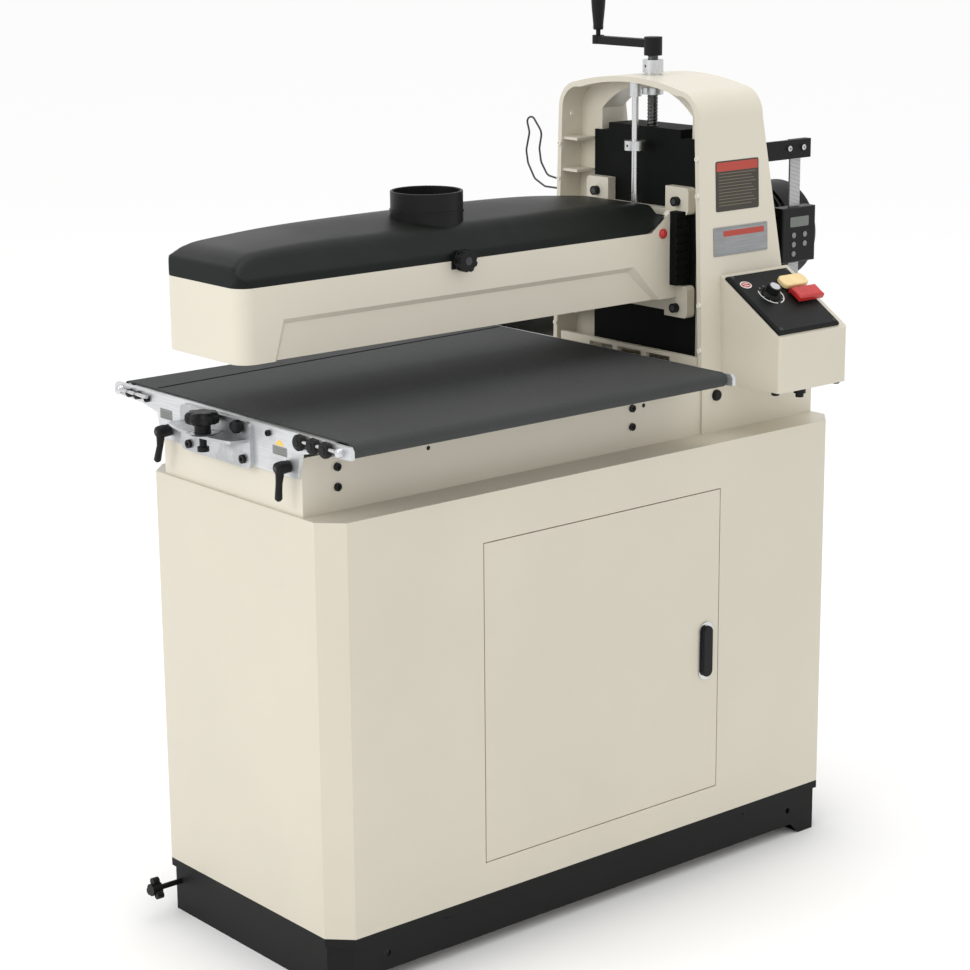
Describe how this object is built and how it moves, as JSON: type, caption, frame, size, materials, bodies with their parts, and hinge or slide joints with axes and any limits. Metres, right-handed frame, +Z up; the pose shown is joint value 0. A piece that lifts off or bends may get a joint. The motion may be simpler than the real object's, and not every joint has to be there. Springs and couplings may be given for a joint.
{
  "type": "drum sander",
  "caption": "Open-ended drum sander: height-cranked cantilevered drum head with dust cover over a belt conveyor, on a closed cabinet stand with door and control box.",
  "frame": {"origin": "on the floor, under the middle of the machine's bounding box", "axes": "+X along the drum from the arm's open end to the motor, +Y from the infeed side to the outfeed side, +Z up"},
  "size_m": [1.1152, 0.567, 1.303],
  "materials": {
    "cream_paint": "semi-gloss powder coat",
    "black_paint": "satin powder coat",
    "dark_grey": "satin",
    "black_plastic": "moulded",
    "bright_steel": "ground",
    "chrome_plate": "polished",
    "cast_aluminium": "bead blasted",
    "zinc_sheet": "zinc plated sheet",
    "belt_cloth": "abrasive-faced cloth belt",
    "abrasive": "coated abrasive cloth",
    "red_plastic": "moulded",
    "white_screw": "painted"
  },
  "bodies": {
    "stand": {"base_skirt": "black_paint", "left_end_panel": "cream_paint", "right_end_panel": "cream_paint", "front_panel": "cream_paint", "rear_panel": "cream_paint", "cabinet_top": "cream_paint", "cabinet_shelves": "cream_paint", "bed_frame": "cream_paint", "column_base": "cream_paint", "frame_screws": "black_paint", "column": "cream_paint", "cover_screws": "white_screw", "stop_rod": "chrome_plate", "rod_collars": "cast_aluminium", "screw_bearing": "dark_grey", "scale_bracket": "black_paint", "scale_bar": "bright_steel", "hose_hook": "bright_steel", "control_box": "cream_paint", "control_panel": "black_plastic", "cable_gland": "black_plastic", "conveyor_bed": "zinc_sheet", "left_rail": "cast_aluminium", "right_rail": "cast_aluminium", "roller_bearings": "black_plastic", "belt": "belt_cloth", "gearmotor": "black_paint", "index_bracket": "cast_aluminium"},
    "door": {"cabinet_door": "cream_paint", "latch_plate": "chrome_plate"},
    "latch": {"latch_lever": "dark_grey"},
    "side_lock": {"side_knob": "black_plastic"},
    "head": {"carriage": "black_paint", "arm_casting": "cream_paint", "arm_bolts": "black_paint", "drum_bearings": "cast_aluminium", "roller_hangers": "bright_steel", "motor": "black_paint", "motor_fan_cover": "black_paint", "readout": "black_plastic", "readout_bracket": "zinc_sheet"},
    "drum_set": {"drum": "cast_aluminium", "abrasive_wrap": "abrasive", "drum_shaft": "bright_steel"},
    "infeed": {"infeed_roller": "bright_steel"},
    "outfeed": {"outfeed_roller": "bright_steel"},
    "cover": {"dust_cover": "black_paint", "dust_port": "black_paint"},
    "cover_knob": {"cover_latch": "black_plastic"},
    "crank": {"lift_screw": "black_paint", "crank_arm": "black_paint"},
    "grip": {"crank_grip": "black_plastic"},
    "drive": {"drive_roller": "bright_steel"},
    "idler": {"idler_roller": "bright_steel"},
    "rear_lever": {"rear_clamp_lever": "black_plastic"},
    "front_lever": {"front_clamp_lever": "black_plastic"},
    "dial": {"dial_knob": "black_plastic"},
    "lock": {"lock_knob": "black_plastic"},
    "speed": {"speed_knob": "black_plastic"},
    "paddle": {"stop_paddle": "red_plastic"}
  },
  "joints": [
    {"name": "door_swing", "type": "hinge", "parent": "stand", "child": "door", "pos_m": [-0.237, -0.212, 0.357], "axis": [0, 0, -1], "range_deg": [0, 110]},
    {"name": "latch_turn", "type": "hinge", "parent": "door", "child": "latch", "pos_m": [0.178, -0.216, 0.372], "axis": [0, 1, 0], "range_deg": [0, 90]},
    {"name": "side_lock_turn", "type": "hinge", "parent": "stand", "child": "side_lock", "pos_m": [-0.512, 0.172, 0.046], "axis": [1, 0, 0], "range_deg": [-360, 360]},
    {"name": "head_lift", "type": "slide", "parent": "stand", "child": "head", "axis": [0, 0, 1], "range_m": [-0.074, 0.001]},
    {"name": "crank_turn", "type": "hinge", "parent": "stand", "child": "crank", "pos_m": [0.274, 0.005, 1.2], "axis": [0, 0, 1], "range_deg": [-90, 5400]},
    {"name": "grip_spin", "type": "hinge", "parent": "crank", "child": "grip", "pos_m": [0.274, 0.125, 1.26], "axis": [0, 0, 1], "continuous": true},
    {"name": "drum_spin", "type": "hinge", "parent": "head", "child": "drum_set", "pos_m": [-0.172, 0.005, 0.911], "axis": [1, 0, 0], "continuous": true},
    {"name": "infeed_spin", "type": "hinge", "parent": "head", "child": "infeed", "pos_m": [-0.172, -0.047, 0.8535], "axis": [1, 0, 0], "continuous": true},
    {"name": "outfeed_spin", "type": "hinge", "parent": "head", "child": "outfeed", "pos_m": [-0.172, 0.057, 0.8535], "axis": [1, 0, 0], "continuous": true},
    {"name": "cover_swing", "type": "hinge", "parent": "head", "child": "cover", "pos_m": [-0.162, 0.104, 0.95], "axis": [-1, 0, 0], "range_deg": [0, 70]},
    {"name": "cover_knob_turn", "type": "hinge", "parent": "head", "child": "cover_knob", "pos_m": [-0.17, -0.082, 0.948], "axis": [0, 1, 0], "range_deg": [-360, 0]},
    {"name": "drive_spin", "type": "hinge", "parent": "stand", "child": "drive", "pos_m": [-0.162, 0.262, 0.7605], "axis": [1, 0, 0], "continuous": true},
    {"name": "idler_spin", "type": "hinge", "parent": "stand", "child": "idler", "pos_m": [-0.162, -0.252, 0.7605], "axis": [1, 0, 0], "continuous": true},
    {"name": "rear_lever_turn", "type": "hinge", "parent": "stand", "child": "rear_lever", "pos_m": [-0.507, 0.146, 0.722], "axis": [1, 0, 0], "range_deg": [0, 90]},
    {"name": "front_lever_turn", "type": "hinge", "parent": "stand", "child": "front_lever", "pos_m": [-0.507, -0.136, 0.722], "axis": [-1, 0, 0], "range_deg": [0, 90]},
    {"name": "dial_turn", "type": "hinge", "parent": "stand", "child": "dial", "pos_m": [-0.535, 0.015, 0.75], "axis": [0, 0, 1], "range_deg": [-360, 360]},
    {"name": "lock_turn", "type": "hinge", "parent": "stand", "child": "lock", "pos_m": [-0.517, -0.038, 0.76], "axis": [1, 0, 0], "range_deg": [-360, 360]},
    {"name": "speed_turn", "type": "hinge", "parent": "stand", "child": "speed", "pos_m": [0.311, -0.21019, 0.86315], "axis": [0, -0.5319, 0.8468], "range_deg": [-300, 0]},
    {"name": "paddle_swing", "type": "hinge", "parent": "stand", "child": "paddle", "pos_m": [0.366, -0.21315, 0.86128], "axis": [-1, 0, 0], "range_deg": [0, 25]}
  ],
  "couplings": [
    {"joint": "crank_turn", "follows": "head_lift", "rad_per_m": -1256.6},
    {"joint": "idler_spin", "follows": "drive_spin", "ratio": 1}
  ]
}
